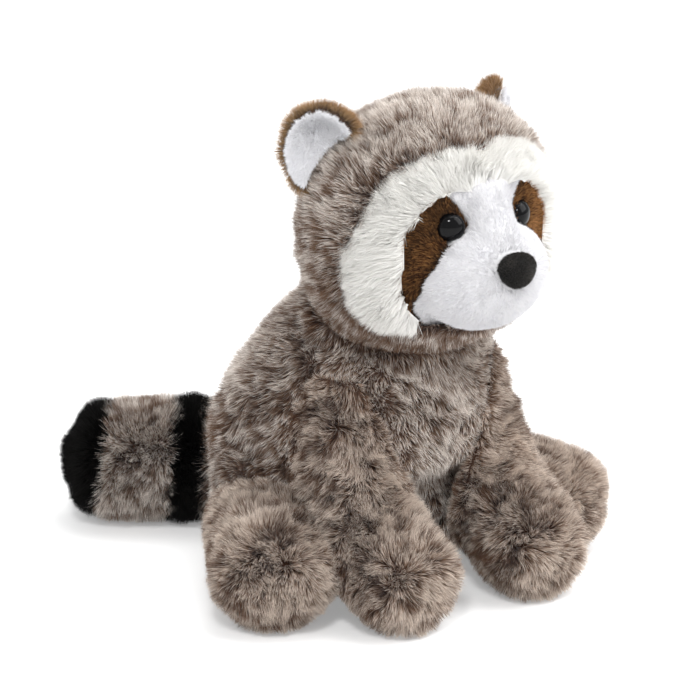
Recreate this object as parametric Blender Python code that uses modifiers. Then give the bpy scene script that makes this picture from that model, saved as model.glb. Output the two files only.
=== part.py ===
"""Plush raccoon, seated on its rump with its forelegs straight and its tail bent to its right.

Units are metres and +Z is up. The raccoon faces -Y, so its own right side is at -X.
The origin is on the floor, at the middle of the flat seat under the torso.
Every stuffed bag is one solid whose surface is the outer envelope of its pile.
"""

import math

import bmesh
import bpy
from mathutils import Matrix, Vector
from mathutils.bvhtree import BVHTree

# Clearance kept between neighbouring pieces, and the pinch of a sewn seam
GAP = 0.0003
SEAM_PINCH = 0.0015

# Torso: a pear-shaped bag, wide at the rump and narrow at the neck
TORSO_WIDTH = 0.134
TORSO_DEPTH = 0.124
TORSO_HEIGHT = 0.166
TORSO_LEAN = 0.036
SEAT_SINK = 0.004

# Head: an almost round ball that rests on the neck
HEAD_WIDTH = 0.124
HEAD_DEPTH = 0.108
HEAD_HEIGHT = 0.120
HEAD_CENTRE_Y = -0.057
HEAD_CENTRE_Z = 0.184

# Face panels: how far the short plush lies below the long pile, and the panels' thickness
FACE_INSET = 0.007
PANEL_DEPTH = 0.005
RUFF_BACK = 0.011

# Muzzle: a broad low ball of short plush
MUZZLE_WIDTH = 0.064
MUZZLE_DEPTH = 0.048
MUZZLE_HEIGHT = 0.050
MUZZLE_FORWARD = 0.041
MUZZLE_DROP = 0.019
MUZZLE_ROWS = 7
MUZZLE_WIDTH_RATIO = 1.04
MUZZLE_HEIGHT_RATIO = 1.06

# Bridge: a ridge of short plush from the brow to the muzzle, in front of the head's middle.
# Its stations are fractions of half the head's height, width and depth.
BRIDGE_FORWARD_RATIO = 0.76
BRIDGE_PATH = (
    (-0.20, 0.32, 0.39), (-0.07, 0.27, 0.37), (0.10, 0.21, 0.30), (0.27, 0.175, 0.195),
    (0.40, 0.145, 0.11), (0.50, 0.08, 0.04),
)

# Nose: a padded rounded triangle on the front of the muzzle, with stations of depth and girth
NOSE_WIDTH = 0.020
NOSE_HEIGHT = 0.0180
NOSE_DEPTH = 0.012
NOSE_RISE = 0.0056
NOSE_STANDOFF = 0.0048
NOSE_FLARE_RATIO = 0.20
NOSE_PATH = ((0.0, 0.62), (0.30, 0.98), (0.66, 0.96), (0.90, 0.66), (1.0, 0.28))

# Eyes: domes with a shank that passes through the eye patch into a washer
EYE_DIAMETER = 0.012
EYE_DOME = 0.0046
DOME_ANGLES = (math.radians(22), math.radians(46), math.radians(70))
EYE_SPACING = 0.0396
EYE_RISE = 0.005
EYE_SPLAY = math.radians(30)
EYE_SINK = 0.0006
SHANK_DIAMETER = 0.0032
SHANK_LENGTH = 0.0095
WASHER_DIAMETER = 0.0125
WASHER_THICKNESS = 0.0016
WASHER_SETBACK = 0.0008
WASHER_SIDES = 10

# Ears: cupped discs, a furry back with a short plush lining set into it
EAR_PLACE = (0.816, 0.18, 0.58)
EAR_DIAMETER = 0.039
EAR_CUP = 0.0045
EAR_THICKNESS = 0.0034
LINING_DIAMETER = 0.034
LINING_THICKNESS = 0.0026
EAR_TURN = math.radians(56)
EAR_TILT = math.radians(4)
EAR_RINGS = (0.06, 0.4, 0.72)

# Forelegs: tubes that run down and forward from the chest and end in round paws
ARM_SHOULDER_X = 0.027
ARM_SHOULDER_Y = -0.038
ARM_SHOULDER_Z = 0.118
ARM_DIAMETER = 0.057
PAW_X = 0.0375
PAW_Y = -0.0915
PAW_WIDTH = 0.059
PAW_HEIGHT = 0.047
PAW_LENGTH = 0.056
PAW_PRESS = 0.0023

# Hind legs: short tubes that splay outward from the rump and end in round feet
HIP_X = 0.048
HIP_Y = 0.004
LEG_DIAMETER = 0.060
FOOT_X = 0.0850
FOOT_Y = -0.0550
FOOT_WIDTH = 0.062
FOOT_HEIGHT = 0.0545
FOOT_LENGTH = 0.052

# Tail: a thick tube on the floor, banded from its root to its tip, bent to the right.
# Its seams lean, nearer to the root at the top than at the floor.
TAIL_DIAMETER = 0.0640
TAIL_ROOT = (-0.0055, 0.046)
TAIL_BEND_RADIUS = 0.046
TAIL_TURN = math.radians(53)
TAIL_ROOT_LENGTH = 0.0465
TAIL_DARK_BAND = 0.016
TAIL_PALE_BAND = 0.0335
TAIL_TIP_LENGTH = 0.0205
TAIL_SEAM_LEAN = math.radians(9)
TAIL_TAPER_RATIO = 0.09
TAIL_SIDES = 16
TAIL_RING_STEP = 0.0048
TAIL_TIP_BLUNTNESS = 1.7
TAIL_TIP_RISE = 0.005
TAIL_TIP_END_RATIO = 0.06

# Floor: a block that flattens what is pressed onto it, and how far the limbs and tail press
FLOOR_SIZE = (0.6, 0.6, 0.1)
FLOOR_PRESS = 0.0010

# Profiles as fractions of the sizes above: height, width, depth, forward lean, egg shape
TORSO_PROFILE = (
    (0.00, 0.62, 0.64, 0.00, 0.00),
    (0.07, 0.90, 0.89, 0.00, 0.05),
    (0.23, 1.00, 0.99, 0.00, 0.16),
    (0.41, 1.03, 1.06, 0.12, 0.26),
    (0.56, 0.97, 1.01, 0.31, 0.28),
    (0.71, 0.85, 0.885, 0.57, 0.22),
    (0.84, 0.68, 0.68, 0.82, 0.12),
    (1.00, 0.42, 0.42, 1.00, 0.00),
)
HEAD_PROFILE = (
    (0.00, 0.36, 0.36, 0.00, 0.00),
    (0.07, 0.70, 0.72, 0.00, 0.00),
    (0.21, 0.96, 0.94, 0.00, 0.00),
    (0.40, 1.02, 1.00, 0.00, 0.00),
    (0.58, 1.01, 1.00, 0.01, 0.00),
    (0.74, 0.90, 0.91, 0.03, 0.00),
    (0.88, 0.68, 0.70, 0.08, 0.00),
    (1.00, 0.32, 0.34, 0.14, 0.00),
)

# Panel outlines seen from the front, as fractions of half the head's width and height.
# Only the raccoon's left half is given, from the top of the face downward.
RUFF_OUTER = (
    (0.00, 0.63), (0.16, 0.64), (0.32, 0.62), (0.50, 0.56), (0.68, 0.44), (0.82, 0.24),
    (0.90, 0.02), (0.955, -0.18), (0.94, -0.34), (0.88, -0.52), (0.76, -0.67), (0.60, -0.76),
    (0.49, -0.745),
)
FACE_OPENING = (
    (0.00, 0.34), (0.18, 0.325), (0.34, 0.34), (0.50, 0.245), (0.60, 0.12), (0.66, -0.02),
    (0.665, -0.22), (0.655, -0.40), (0.60, -0.54), (0.53, -0.64), (0.46, -0.70),
)
CHIN_RATIO = -0.72
OPEN_BELOW_RATIO = -1.10
OPEN_BELOW_WIDTH_RATIO = 0.44
EYE_PATCH = (
    (0.38, 0.45), (0.354, 0.33), (0.28, 0.265), (0.237, 0.188), (0.187, 0.092), (0.25, 0.025),
    (0.344, -0.03), (0.34, -0.12), (0.30, -0.30), (0.30, -0.50), (0.40, -0.72),
    (0.58, -0.78), (0.76, -0.56), (0.80, -0.20), (0.76, 0.10), (0.62, 0.34),
)

# Where the snout's plush ends on its side, seen from the side, as fractions of half the head's
# depth and height, from the eye down to the chin
SNOUT_LINE = (
    (-0.893, -0.03), (-0.850, -0.065), (-0.833, -0.19), (-0.713, -0.347), (-0.611, -0.47),
    (-0.565, -0.57), (-0.53, -0.80), (-1.70, -0.80), (-1.70, -0.03),
)

# Foreleg stations: reach and rise from paw to shoulder, spread, width, thickness
ARM_PATH = (
    (-0.10, 1.03, -0.50, 0.52, 0.62), (-0.10, 0.89, 0.10, 0.92, 1.08), (-0.04, 0.68, 0.55, 0.96, 1.04),
    (0.14, 0.43, 0.88, 0.94, 0.94), (0.46, 0.195, 1.02, 0.96, 0.92),
)
# Paw stations: reach from the paw's middle, rise, width, height
PAW_PATH = ((-0.29, 0.08, 0.98, 1.14), (0.32, 0.02, 0.94, 1.04), (0.80, -0.03, 0.54, 0.64))
# Hind leg stations: reach from hip to foot and girth, then foot stations in the same way
LEG_PATH = ((-0.22, 0.62), (0.00, 0.96), (0.34, 1.00), (0.68, 0.95))
FOOT_PATH = ((-0.10, 0.99), (0.45, 0.90), (0.86, 0.50))

# Colours of the plush, as linear RGB
GREY_PILE = (0.24, 0.19, 0.165)
WHITE_PILE = (0.80, 0.80, 0.76)
WHITE_PLUSH = (0.80, 0.79, 0.82)
BROWN_PLUSH = (0.065, 0.028, 0.012)
TAN_PILE = (0.26, 0.15, 0.08)
BLACK_PILE = (0.010, 0.009, 0.009)
BLACK_PLASTIC = (0.004, 0.004, 0.004)
CLEAR_WASHER = (0.62, 0.62, 0.60)

RING_SIDES = 12


def named_collection(name):
    collection = bpy.data.collections.new(name)
    bpy.context.scene.collection.children.link(collection)
    return collection


for old in list(bpy.data.objects):
    bpy.data.objects.remove(old)
PARTS = named_collection("plush_raccoon")
CUTTERS = named_collection("cutters")


def material(name, colour, roughness):
    mat = bpy.data.materials.new(name)
    mat.use_nodes = True
    shader = mat.node_tree.nodes["Principled BSDF"]
    shader.inputs["Base Color"].default_value = (*colour, 1.0)
    shader.inputs["Roughness"].default_value = roughness
    shader.inputs["Metallic"].default_value = 0.0
    return mat


def add_part(name, mesh, colour, roughness=0.95):
    """Make a visible piece with a material of its own."""
    part = bpy.data.objects.new(name, mesh)
    PARTS.objects.link(part)
    part.data.materials.clear()
    part.data.materials.append(material(name, colour, roughness))
    part.data.shade_smooth()
    return part


def add_cutter(name, mesh):
    """Make a hidden shape that only cuts its neighbours."""
    cutter = bpy.data.objects.new(name, mesh)
    CUTTERS.objects.link(cutter)
    cutter.hide_render = True
    cutter.display_type = 'WIRE'
    return cutter


def soften(obj, levels=1):
    """Round a coarse cage with Subdivision Surface."""
    subdivision = obj.modifiers.new("soft_form", 'SUBSURF')
    subdivision.levels = levels
    subdivision.render_levels = levels
    triangles = obj.modifiers.new("flat_facets", 'TRIANGULATE')
    triangles.quad_method = 'FIXED'


def swell(obj, distance):
    """Move the whole surface outward, for the clearance round a piece."""
    displace = obj.modifiers.new("clearance", 'DISPLACE')
    displace.direction = 'NORMAL'
    displace.mid_level = 0.0
    displace.strength = distance


def combine(obj, other, operation):
    boolean = obj.modifiers.new(other.name, 'BOOLEAN')
    boolean.operation = operation
    boolean.object = other
    boolean.solver = 'EXACT'


def cut(obj, *cutters):
    for cutter in cutters:
        combine(obj, cutter, 'DIFFERENCE')


def loft(name, rings, ring_shaped=False):
    """Join rings of points into one closed mesh, capped at its ends or joined end to end."""
    bm = bmesh.new()
    loops = [[bm.verts.new(point) for point in ring] for ring in rings]
    following = loops[1:] + (loops[:1] if ring_shaped else [])
    for lower, upper in zip(loops, following):
        for i in range(len(lower)):
            j = (i + 1) % len(lower)
            bm.faces.new((lower[i], lower[j], upper[j], upper[i]))
    if not ring_shaped:
        bm.faces.new(reversed(loops[0]))
        bm.faces.new(loops[-1])
    bmesh.ops.recalc_face_normals(bm, faces=bm.faces)
    mesh = bpy.data.meshes.new(name)
    bm.to_mesh(mesh)
    bm.free()
    return mesh


def cage_scale(sides):
    """How much wider a cage ring is than the smooth ring that it gives."""
    return 1.0 / (2.0 / 3.0 + math.cos(math.tau / sides) / 3.0)


def level_ring(centre, half_width, half_depth, egg=0.0):
    """A horizontal ring, narrower toward the front as egg grows."""
    scale = cage_scale(RING_SIDES)
    points = []
    for i in range(RING_SIDES):
        angle = math.tau * (i + 0.5) / RING_SIDES
        width = half_width * scale * math.sin(angle) * (1.0 + egg * math.cos(angle))
        points.append(centre + Vector((width, half_depth * scale * math.cos(angle), 0.0)))
    return points


def facing_ring(centre, direction, half_width, half_height, sides, scale):
    """A ring square to a direction, kept level from side to side."""
    forward = direction.normalized()
    side = forward.cross(Vector((0.0, 0.0, 1.0)))
    if abs(forward.x) < abs(forward.y) or abs(forward.z) > 0.5:
        side = Vector((1.0, 0.0, 0.0))
    side = (side - forward * side.dot(forward)).normalized()
    lift = side.cross(forward)
    points = []
    for i in range(sides):
        angle = math.tau * (i + 0.5) / sides
        across = side * (half_width * scale * math.cos(angle))
        points.append(centre + across + lift * (half_height * scale * math.sin(angle)))
    return points


def profile_mesh(name, profile, base, width, depth, height, lean):
    """Stack level rings from a profile of fractions."""
    rings = []
    for rise, across, along, forward, egg in profile:
        centre = base + Vector((0.0, -lean * forward, height * rise))
        rings.append(level_ring(centre, width / 2 * across, depth / 2 * along, egg))
    return loft(name, rings)


def tube_mesh(name, stations, sides=RING_SIDES):
    """Loft a tube through stations of (centre, half width, half height)."""
    scale = cage_scale(sides)
    rings = []
    for i, (centre, half_width, half_height) in enumerate(stations):
        before = stations[max(i - 1, 0)][0]
        after = stations[min(i + 1, len(stations) - 1)][0]
        rings.append(facing_ring(centre, after - before, half_width, half_height, sides, scale))
    return loft(name, rings)


def smooth_outline(points, steps=2):
    """A closed Catmull-Rom curve through the given points."""
    count = len(points)
    curve = []
    for i in range(count):
        a, b, c, d = (Vector(points[(i + k - 1) % count]) for k in range(4))
        for step in range(steps):
            t = step / steps
            curve.append(0.5 * (2 * b + (c - a) * t + (2 * a - 5 * b + 4 * c - d) * t * t
                                + (3 * b - a - 3 * c + d) * t ** 3))
    return curve


def grow_outline(points, distance):
    """Move each point of a closed outline outward, square to its neighbours."""
    count = len(points)
    turn = sum(points[i].cross(points[(i + 1) % count]) for i in range(count))
    sign = 1.0 if turn > 0 else -1.0
    grown = []
    for i in range(count):
        along = (points[(i + 1) % count] - points[i - 1]).normalized()
        grown.append(points[i] + Vector((along.y, -along.x)) * (distance * sign))
    return grown


def prism(name, outline, front, back):
    """A prism along Y from an outline seen from the front."""
    near = [Vector((p.x, front, p.y)) for p in outline]
    far = [Vector((p.x, back, p.y)) for p in outline]
    return add_cutter(name, loft(name, (near, far)))


def side_prism(name, outline, half_width):
    """A prism along X from an outline of depth and height."""
    near = [Vector((-half_width, p.x, p.y)) for p in outline]
    far = [Vector((half_width, p.x, p.y)) for p in outline]
    return add_cutter(name, loft(name, (near, far)))


def turned_mesh(name, profile, place, sides=16, ring_shaped=False):
    """Turn a profile of (radius, height) round the local Z axis and put it in place."""
    rings = []
    for radius, height in profile:
        ring = []
        for i in range(sides):
            angle = math.tau * i / sides
            point = Vector((radius * math.cos(angle), radius * math.sin(angle), height))
            ring.append(place @ point)
        rings.append(ring)
    return loft(name, rings, ring_shaped)


def facing(point, axis):
    """A placement whose local Z axis is the given axis and whose origin is the point."""
    return Matrix.Translation(point) @ axis.to_track_quat('Z', 'Y').to_matrix().to_4x4()


def surface_point(guide, across, height):
    """The first point of a guide's smooth surface, seen from the front."""
    graph = bpy.context.evaluated_depsgraph_get()
    tree = BVHTree.FromObject(guide, graph)
    start = Vector((across, -1.0, height))
    return tree.ray_cast(start, Vector((0.0, 1.0, 0.0)))[0]


def head_point(across, rise):
    """A point of the front view, from fractions of half the head's width and height."""
    return Vector((across * HEAD_WIDTH / 2, HEAD_CENTRE_Z + rise * HEAD_HEIGHT / 2))


def head_mesh(name, inset=0.0):
    """The ball of the head, or the same ball closer to its middle by an inset."""
    height = HEAD_HEIGHT - 2 * inset
    base = Vector((0.0, HEAD_CENTRE_Y, HEAD_CENTRE_Z - height / 2))
    lean = HEAD_DEPTH / 2
    return profile_mesh(name, HEAD_PROFILE, base, HEAD_WIDTH - 2 * inset, HEAD_DEPTH - 2 * inset,
                        height, lean)


def soft_cutter(name, mesh, clearance=0.0):
    """A rounded cutter, swollen by a clearance."""
    cutter = add_cutter(name, mesh)
    soften(cutter)
    if clearance:
        swell(cutter, clearance)
    return cutter


def mirrored(points):
    """A whole outline from the points of its left half, top to bottom."""
    left = [head_point(*p) for p in points]
    right = [Vector((-p.x, p.y)) for p in reversed(left) if p.x > 0]
    return left + right


def face_opening():
    """The outline of the face opening, which runs out below the head."""
    below = ((OPEN_BELOW_WIDTH_RATIO, OPEN_BELOW_RATIO), (OPEN_BELOW_WIDTH_RATIO / 2, OPEN_BELOW_RATIO))
    return smooth_outline(mirrored(FACE_OPENING + below))


def muzzle_mesh(name):
    """The ball of the muzzle, as level rings."""
    centre = Vector((0.0, HEAD_CENTRE_Y - MUZZLE_FORWARD, HEAD_CENTRE_Z - MUZZLE_DROP))
    half_height = MUZZLE_HEIGHT_RATIO * MUZZLE_HEIGHT / 2
    rings = []
    for i in range(MUZZLE_ROWS):
        angle = math.pi * (i + 0.5) / MUZZLE_ROWS - math.pi / 2
        ring_centre = centre + Vector((0.0, 0.0, half_height * math.sin(angle)))
        spread = MUZZLE_WIDTH_RATIO * math.cos(angle)
        rings.append(level_ring(ring_centre, MUZZLE_WIDTH / 2 * spread, MUZZLE_DEPTH / 2 * spread))
    return loft(name, rings)


def block(name, centre, size):
    bm = bmesh.new()
    bmesh.ops.create_cube(bm, size=1.0)
    bmesh.ops.scale(bm, vec=Vector(size), verts=bm.verts)
    bmesh.ops.translate(bm, vec=Vector(centre), verts=bm.verts)
    mesh = bpy.data.meshes.new(name)
    bm.to_mesh(mesh)
    bm.free()
    return add_cutter(name, mesh)


def bridge_mesh(name):
    """The ridge between the eyes, as level rings."""
    rings = []
    for rise, across, reach in BRIDGE_PATH:
        centre = Vector((0.0, HEAD_CENTRE_Y - BRIDGE_FORWARD_RATIO * HEAD_DEPTH / 2,
                         HEAD_CENTRE_Z + rise * HEAD_HEIGHT / 2))
        rings.append(level_ring(centre, across * HEAD_WIDTH / 2, reach * HEAD_DEPTH / 2))
    return loft(name, rings)


def build_torso(head_clear, muzzle_clear, ground):
    base = Vector((0.0, 0.0, -SEAT_SINK))
    mesh = profile_mesh("torso", TORSO_PROFILE, base, TORSO_WIDTH, TORSO_DEPTH,
                        TORSO_HEIGHT + SEAT_SINK, TORSO_LEAN)
    clear = soft_cutter("torso_clearance", mesh.copy(), GAP)
    torso = add_part("torso", mesh, GREY_PILE)
    soften(torso)
    cut(torso, head_clear, muzzle_clear, ground)
    return clear


def build_face():
    """The hood of the head and the panels sewn into its front."""
    front = HEAD_CENTRE_Y - HEAD_DEPTH
    back = HEAD_CENTRE_Y - RUFF_BACK
    core = FACE_INSET + PANEL_DEPTH
    ruff_outline = smooth_outline(mirrored(RUFF_OUTER))
    opening_outline = face_opening()
    pocket = prism("face_pocket", grow_outline(ruff_outline, GAP), front, back + GAP)
    combine(pocket, soft_cutter("pocket_floor", head_mesh("pocket_floor", core + GAP)), 'DIFFERENCE')
    panel_back = soft_cutter("panel_back", head_mesh("panel_back", core))
    ruff_area = prism("ruff_area", ruff_outline, front, back)
    ruff_opening = prism("ruff_opening", grow_outline(opening_outline, GAP), front, back + GAP)
    face_area = prism("face_area", opening_outline, front, back)

    head = add_part("head", head_mesh("head"), GREY_PILE)
    soften(head)
    cut(head, pocket)

    reach = 2 * HEAD_WIDTH
    chin_height = HEAD_CENTRE_Z + CHIN_RATIO * HEAD_HEIGHT / 2
    under_chin = block("under_chin", (0.0, HEAD_CENTRE_Y, chin_height - reach / 2), (reach, reach, reach))
    for side, name in ((1, "left"), (-1, "right")):
        ruff = add_part("ruff_" + name, head_mesh("ruff_" + name), WHITE_PILE)
        soften(ruff)
        centre = Vector((-side * (reach / 2 - GAP / 2), HEAD_CENTRE_Y, HEAD_CENTRE_Z))
        cut(ruff, block("middle_" + name, centre, (reach, reach, reach)))
        combine(ruff, ruff_area, 'INTERSECT')
        cut(ruff, ruff_opening, panel_back)

    muzzle_ball = soft_cutter("muzzle_ball", muzzle_mesh("muzzle_ball"))
    bridge = soft_cutter("bridge", bridge_mesh("bridge"))
    snout_line = [Vector((HEAD_CENTRE_Y + y * HEAD_DEPTH / 2, HEAD_CENTRE_Z + z * HEAD_HEIGHT / 2))
                  for y, z in SNOUT_LINE]
    snout = side_prism("snout", snout_line, reach)
    snout_clear = side_prism("snout_clearance", grow_outline(snout_line, GAP), reach)
    patches = {}
    for side, name in ((1, "left"), (-1, "right")):
        outline = smooth_outline([head_point(side * x, z) for x, z in EYE_PATCH])
        patch = add_part("eye_patch_" + name, head_mesh("eye_patch_" + name, FACE_INSET), BROWN_PLUSH)
        soften(patch)
        combine(patch, muzzle_ball, 'UNION')
        combine(patch, bridge, 'UNION')
        combine(patch, prism("patch_area_" + name, outline, front, back), 'INTERSECT')
        combine(patch, face_area, 'INTERSECT')
        cut(patch, panel_back, under_chin, snout_clear)
        patch_clear = prism("patch_clearance_" + name, grow_outline(outline, GAP), front, back)
        combine(patch_clear, snout, 'DIFFERENCE')
        patches[name] = (patch, patch_clear)

    muzzle = add_part("muzzle", head_mesh("muzzle", FACE_INSET), WHITE_PLUSH)
    soften(muzzle)
    combine(muzzle, muzzle_ball, 'UNION')
    combine(muzzle, bridge, 'UNION')
    combine(muzzle, face_area, 'INTERSECT')
    cut(muzzle, panel_back, under_chin)
    return head, muzzle, patches


def build_eye(name, side, guide, seats):
    """A dome with its shank, and the washer that locks it behind the eye patch."""
    point = surface_point(guide, side * EYE_SPACING / 2, HEAD_CENTRE_Z + EYE_RISE)
    axis = Vector((side * math.sin(EYE_SPLAY), -math.cos(EYE_SPLAY), 0.0))
    place = facing(point - axis * EYE_SINK, axis)
    radius = EYE_DIAMETER / 2
    shank = SHANK_DIAMETER / 2
    dome = [(radius, 0.0)]
    for angle in DOME_ANGLES:
        dome.append((radius * math.cos(angle), EYE_DOME * math.sin(angle)))
    profile = [(shank, -SHANK_LENGTH), (shank, 0.0)] + dome
    add_part("eye_" + name, turned_mesh("eye_" + name, profile, place), BLACK_PLASTIC, 0.08)

    top = -PANEL_DEPTH - WASHER_SETBACK
    bottom = top - WASHER_THICKNESS
    outer = WASHER_DIAMETER / 2
    ring = ((shank + GAP, bottom), (outer, bottom), (outer, top), (shank + GAP, top))
    washer_mesh = turned_mesh("eye_washer_" + name, ring, place, WASHER_SIDES, True)
    add_part("eye_washer_" + name, washer_mesh, CLEAR_WASHER, 0.45)

    bore = shank + GAP
    wide = outer + GAP
    seat = (
        (bore, -SHANK_LENGTH - GAP), (bore, bottom - GAP), (wide, bottom - GAP), (wide, top + GAP),
        (bore, top + GAP), (bore, -GAP), (radius + GAP, -GAP), (radius + GAP, 2 * EYE_DIAMETER),
    )
    seats.append(add_cutter("eye_seat_" + name, turned_mesh("eye_seat_" + name, seat, place)))


def build_nose(muzzle_guide, muzzle_clear):
    """A padded rounded triangle, wider at its top."""
    height = HEAD_CENTRE_Z - MUZZLE_DROP + NOSE_RISE
    front = surface_point(muzzle_guide, 0.0, height)
    rings = []
    scale = cage_scale(RING_SIDES)
    for depth, girth in NOSE_PATH:
        ring = []
        for i in range(RING_SIDES):
            angle = math.tau * (i + 0.5) / RING_SIDES
            across = math.cos(angle) * (1.0 + NOSE_FLARE_RATIO * math.sin(angle)) * NOSE_WIDTH / 2
            rise = math.sin(angle) * NOSE_HEIGHT / 2
            along = NOSE_DEPTH * (1.0 - depth) - NOSE_STANDOFF
            ring.append(front + Vector((across * girth * scale, along, rise * girth * scale)))
        rings.append(ring)
    nose = add_part("nose", loft("nose", rings), BLACK_PILE)
    soften(nose)
    cut(nose, muzzle_clear)


def build_ear(name, side, head_clear):
    """A furry cupped disc and the short plush lining that sits in its hollow."""
    across, back, rise = EAR_PLACE
    centre = Vector((side * across * HEAD_WIDTH / 2, HEAD_CENTRE_Y + back * HEAD_DEPTH / 2,
                     HEAD_CENTRE_Z + rise * HEAD_HEIGHT / 2))
    axis = Vector((side * math.sin(EAR_TURN) * math.cos(EAR_TILT),
                   -math.cos(EAR_TURN) * math.cos(EAR_TILT), math.sin(EAR_TILT)))
    place = facing(centre, axis)
    radius = EAR_DIAMETER / 2
    inner = LINING_DIAMETER / 2

    def cup(r):
        return EAR_CUP * ((r / radius) ** 2 - 1.0)

    outward = (*EAR_RINGS, 1.0)
    back_side = [(share * radius, cup(share * radius) - EAR_THICKNESS) for share in EAR_RINGS]
    rim = [(0.93 * radius, cup(0.93 * radius) - 0.6 * EAR_THICKNESS), (radius, cup(radius)),
           (0.97 * radius, cup(0.97 * radius) + 0.7 * LINING_THICKNESS),
           (inner + GAP, cup(inner) + 0.8 * LINING_THICKNESS)]
    hollow = [(share * (inner + GAP), cup(share * inner)) for share in reversed(outward)]
    shell = add_part("ear_back_" + name, turned_mesh("ear_back_" + name, back_side + rim + hollow, place),
                     TAN_PILE)
    under = [(share * inner, cup(share * inner) + GAP) for share in outward]
    edge = [(inner, cup(inner) + 0.5 * LINING_THICKNESS)]
    top = [(share * inner, cup(share * inner) + LINING_THICKNESS) for share in (0.92, *reversed(EAR_RINGS))]
    lining = add_part("ear_lining_" + name, turned_mesh("ear_lining_" + name, under + edge + top, place),
                      WHITE_PLUSH)
    cut(shell, head_clear)
    cut(lining, head_clear)


def build_leg(name, side, torso_clear, ground):
    """A hind leg that splays outward to a round foot."""
    hip = Vector((side * HIP_X, HIP_Y, LEG_DIAMETER / 2 + FLOOR_PRESS))
    foot = Vector((side * FOOT_X, FOOT_Y, FOOT_HEIGHT / 2 - FLOOR_PRESS))
    forward = (foot - hip).normalized()
    stations = []
    for reach, girth in LEG_PATH:
        stations.append((hip.lerp(foot, reach), girth * LEG_DIAMETER / 2, girth * LEG_DIAMETER / 2))
    for reach, girth in FOOT_PATH:
        centre = foot + forward * (reach * FOOT_LENGTH / 2)
        stations.append((centre, girth * FOOT_WIDTH / 2, girth * FOOT_HEIGHT / 2))
    mesh = tube_mesh("leg_" + name, stations)
    clear = soft_cutter("leg_clearance_" + name, mesh.copy(), GAP)
    leg = add_part("leg_" + name, mesh, GREY_PILE)
    soften(leg)
    cut(leg, torso_clear, ground)
    return clear


def build_arm(name, side, cutters):
    """A foreleg that runs down from the chest and forward to a round paw."""
    paw = Vector((side * PAW_X, PAW_Y, PAW_HEIGHT / 2 - PAW_PRESS))
    stations = []
    for reach, rise, spread, width, thickness in ARM_PATH:
        x = ARM_SHOULDER_X + (PAW_X - ARM_SHOULDER_X) * spread
        y = ARM_SHOULDER_Y + (PAW_Y - ARM_SHOULDER_Y) * reach
        z = paw.z + (ARM_SHOULDER_Z - paw.z) * rise
        stations.append((Vector((side * x, y, z)), width * ARM_DIAMETER / 2, thickness * ARM_DIAMETER / 2))
    for reach, rise, width, height in PAW_PATH:
        centre = paw + Vector((0.0, -reach * PAW_LENGTH / 2, rise * PAW_HEIGHT))
        stations.append((centre, width * PAW_WIDTH / 2, height * PAW_HEIGHT / 2))
    arm = add_part("arm_" + name, tube_mesh("arm_" + name, stations), GREY_PILE)
    soften(arm)
    cut(arm, *cutters)


def tail_point(distance):
    """A point of the tail's middle line and its direction, by distance from the root."""
    x, y = TAIL_ROOT
    height = TAIL_DIAMETER / 2 - FLOOR_PRESS
    bend = TAIL_TURN * TAIL_BEND_RADIUS
    turned = min(distance, bend) / TAIL_BEND_RADIUS
    heading = Vector((-math.sin(turned), math.cos(turned), 0.0))
    point = Vector((x - TAIL_BEND_RADIUS * (1.0 - math.cos(turned)),
                    y + TAIL_BEND_RADIUS * math.sin(turned), height))
    return point + heading * max(distance - bend, 0.0), heading


def build_tail(torso_clear, ground):
    """Stuffed sections of tail, each pinched a little where it is sewn to the next."""
    bands = (("tail_base", TAIL_ROOT_LENGTH, GREY_PILE), ("tail_dark_band", TAIL_DARK_BAND, BLACK_PILE),
             ("tail_pale_band", TAIL_PALE_BAND, GREY_PILE), ("tail_tip", TAIL_TIP_LENGTH, BLACK_PILE))
    whole = sum(length for _, length, _ in bands)
    start = 0.0
    for name, length, colour in bands:
        first = start + GAP / 2
        last = start + length - GAP / 2
        steps = max(4, round(length / TAIL_RING_STEP))
        rings = []
        for i in range(steps + 1):
            share = i / steps
            distance = first + (last - first) * share
            point, heading = tail_point(distance)
            radius = TAIL_DIAMETER / 2 * (1.0 - TAIL_TAPER_RATIO * distance / whole)
            if name == "tail_tip":
                left = max(1.0 - share ** TAIL_TIP_BLUNTNESS, TAIL_TIP_END_RATIO)
                radius *= left ** (1 / TAIL_TIP_BLUNTNESS)
                point = point + Vector((0.0, 0.0, TAIL_TIP_RISE * share * share))
            if i == 0 or (i == steps and name != "tail_tip"):
                radius -= SEAM_PINCH
            ring = facing_ring(point, heading, radius, radius, TAIL_SIDES, 1.0)
            lean = math.tan(TAIL_SEAM_LEAN) * (distance / whole)
            rings.append([p - heading * (p.z - point.z) * lean for p in ring])
        band = add_part(name, loft(name, rings), colour)
        cut(band, torso_clear, ground)
        start += length


muzzle_clear = soft_cutter("muzzle_clearance", muzzle_mesh("muzzle_clearance"), GAP)
head_clear = soft_cutter("head_clearance", head_mesh("head_clearance"), GAP)
ground = block("ground", (0.0, 0.0, -FLOOR_SIZE[2] / 2), FLOOR_SIZE)
torso_clear = build_torso(head_clear, muzzle_clear, ground)
head, muzzle, patches = build_face()

face_guide = soft_cutter("face_guide", head_mesh("face_guide", FACE_INSET))
muzzle_guide = soft_cutter("muzzle_guide", muzzle_mesh("muzzle_guide"))
eye_seats = []
for side_sign, side_name in ((1, "left"), (-1, "right")):
    build_eye(side_name, side_sign, face_guide, eye_seats)
    build_ear(side_name, side_sign, head_clear)
    leg_clear = build_leg(side_name, side_sign, torso_clear, ground)
    build_arm(side_name, side_sign, (torso_clear, leg_clear, ground))
cut(head, *eye_seats)
cut(muzzle, *eye_seats)
for seat, (patch, patch_clear) in zip(eye_seats, patches.values()):
    cut(patch, seat)
    cut(muzzle, patch_clear)
build_nose(muzzle_guide, muzzle_clear)
build_tail(torso_clear, ground)
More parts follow.
